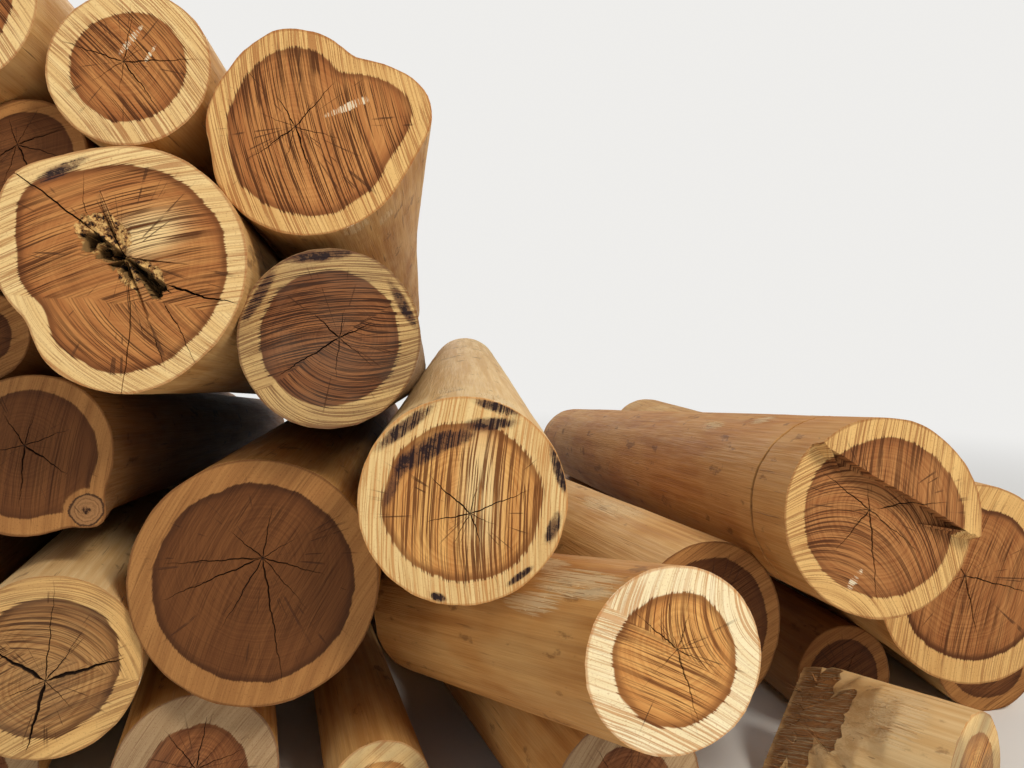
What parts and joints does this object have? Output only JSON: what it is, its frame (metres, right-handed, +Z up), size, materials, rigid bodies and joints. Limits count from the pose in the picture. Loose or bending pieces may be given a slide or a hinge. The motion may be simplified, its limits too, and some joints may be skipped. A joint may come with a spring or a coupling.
{
  "type": "stack of logs",
  "caption": "Heap of debarked round saw logs lying on level ground, sawn ends forward, with cracked hearts, pale sapwood, a crossing log and a torn offcut.",
  "frame": {"origin": "on the ground, under the middle of the stack's box", "axes": "+X across the sawn faces to the right, +Y along the logs away from their sawn faces, +Z up"},
  "size_m": [3.2478, 3.1453, 1.4289],
  "materials": {
    "pale_wood": "raw, sawn and debarked",
    "brown_wood": "raw, sawn and debarked",
    "weathered_wood": "weathered, debarked"
  },
  "bodies": {
    "root": {"ground_log_left": "weathered_wood", "ground_log_thin": "pale_wood", "ground_log_under_crossing": "pale_wood", "ground_log_middle": "brown_wood", "ground_log_right": "brown_wood", "ground_log_far_right": "brown_wood", "hidden_ground_log_1": "brown_wood", "hidden_ground_log_2": "brown_wood", "hidden_ground_log_3": "brown_wood", "torn_offcut": "pale_wood", "star_cracked_log": "brown_wood", "crossing_log": "pale_wood", "crossing_log_behind": "brown_wood", "wide_log_right": "pale_wood", "step_cut_log": "pale_wood", "hidden_second_log_1": "brown_wood", "hidden_second_log_2": "brown_wood", "big_brown_log": "brown_wood", "stained_log": "pale_wood", "knotted_log": "weathered_wood", "hidden_third_log": "brown_wood", "thin_dark_log": "weathered_wood", "weathered_log": "weathered_wood", "pear_log": "pale_wood", "hidden_fourth_log": "brown_wood", "small_cracked_log": "brown_wood", "lobed_log": "pale_wood", "top_pale_log": "pale_wood", "top_left_log": "pale_wood"}
  },
  "joints": []
}
